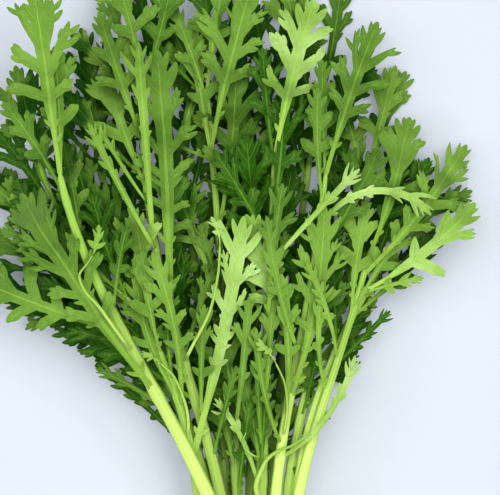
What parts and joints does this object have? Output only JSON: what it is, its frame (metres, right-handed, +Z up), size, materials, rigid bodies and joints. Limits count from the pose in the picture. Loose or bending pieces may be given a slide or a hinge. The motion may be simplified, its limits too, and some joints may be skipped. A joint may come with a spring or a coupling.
{
  "type": "garland chrysanthemum bunch",
  "caption": "Bunch of garland chrysanthemum greens lying down: pale green stems gathered at the cut ends, fanning out into deeply lobed leaves.",
  "frame": {"origin": "on the table, under the flat side of the middle stem of the lowest row", "axes": "+Z up from the table, +Y from the cut ends towards the leaf tips, +X across the fan"},
  "size_m": [0.2569, 0.3285, 0.0911],
  "materials": {
    "under_leaves": "soft green leaf, darker under the pile",
    "middle_leaves": "soft green leaf with paler ribs",
    "top_leaves": "bright green leaf with pale yellow-green stem and ribs"
  },
  "bodies": {
    "root": {"stem_01": "under_leaves", "stem_02": "under_leaves", "stem_03": "under_leaves", "stem_04": "under_leaves", "stem_05": "under_leaves", "stem_06": "middle_leaves", "stem_07": "middle_leaves", "stem_08": "middle_leaves", "stem_09": "middle_leaves", "stem_10": "middle_leaves", "stem_11": "top_leaves", "stem_12": "top_leaves", "stem_13": "top_leaves", "stem_14": "top_leaves", "stem_15": "top_leaves"}
  },
  "joints": []
}
